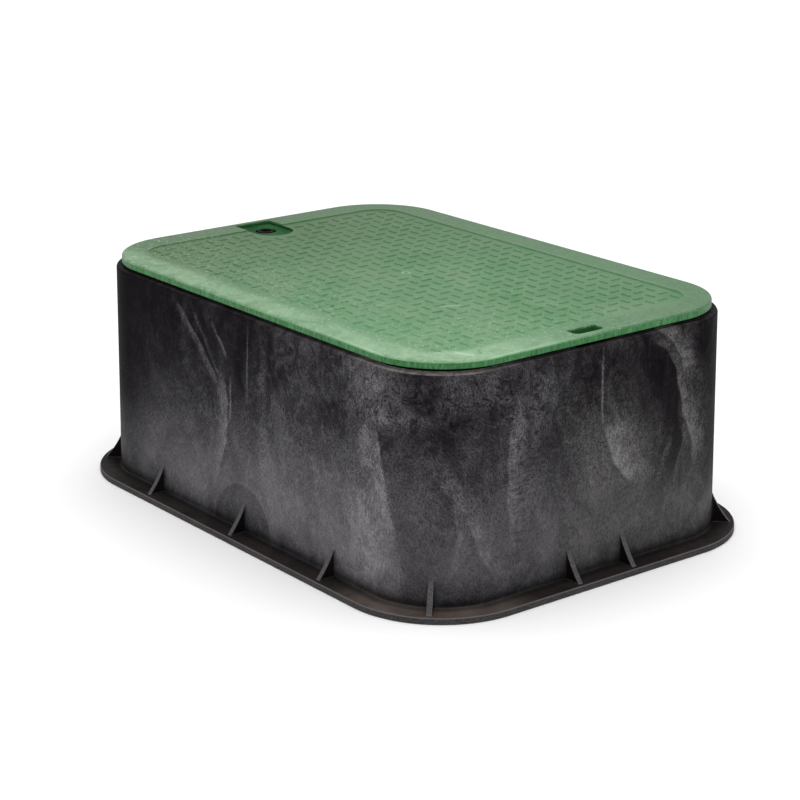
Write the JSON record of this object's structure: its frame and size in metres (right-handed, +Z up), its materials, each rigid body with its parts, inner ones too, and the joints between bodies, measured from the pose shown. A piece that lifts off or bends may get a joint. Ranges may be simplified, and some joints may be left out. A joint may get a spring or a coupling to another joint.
{
  "type": "irrigation valve box",
  "caption": "Open-bottomed plastic box with a flanged, gusseted foot and a flat treaded lid, set in the ground over irrigation valves.",
  "frame": {"origin": "centre of the box's outline, on the ground under its flange", "axes": "+X along the length towards the lid's pry slot, +Y across the width, +Z up through the lid"},
  "size_m": [0.4764, 0.3464, 0.1825],
  "materials": {
    "body_plastic": "moulded foam plastic, satin, with pale flow marks",
    "lid_plastic": "moulded plastic, satin, lightly scuffed"
  },
  "bodies": {
    "root": {"box_body": "body_plastic", "lid": "lid_plastic"}
  },
  "joints": []
}
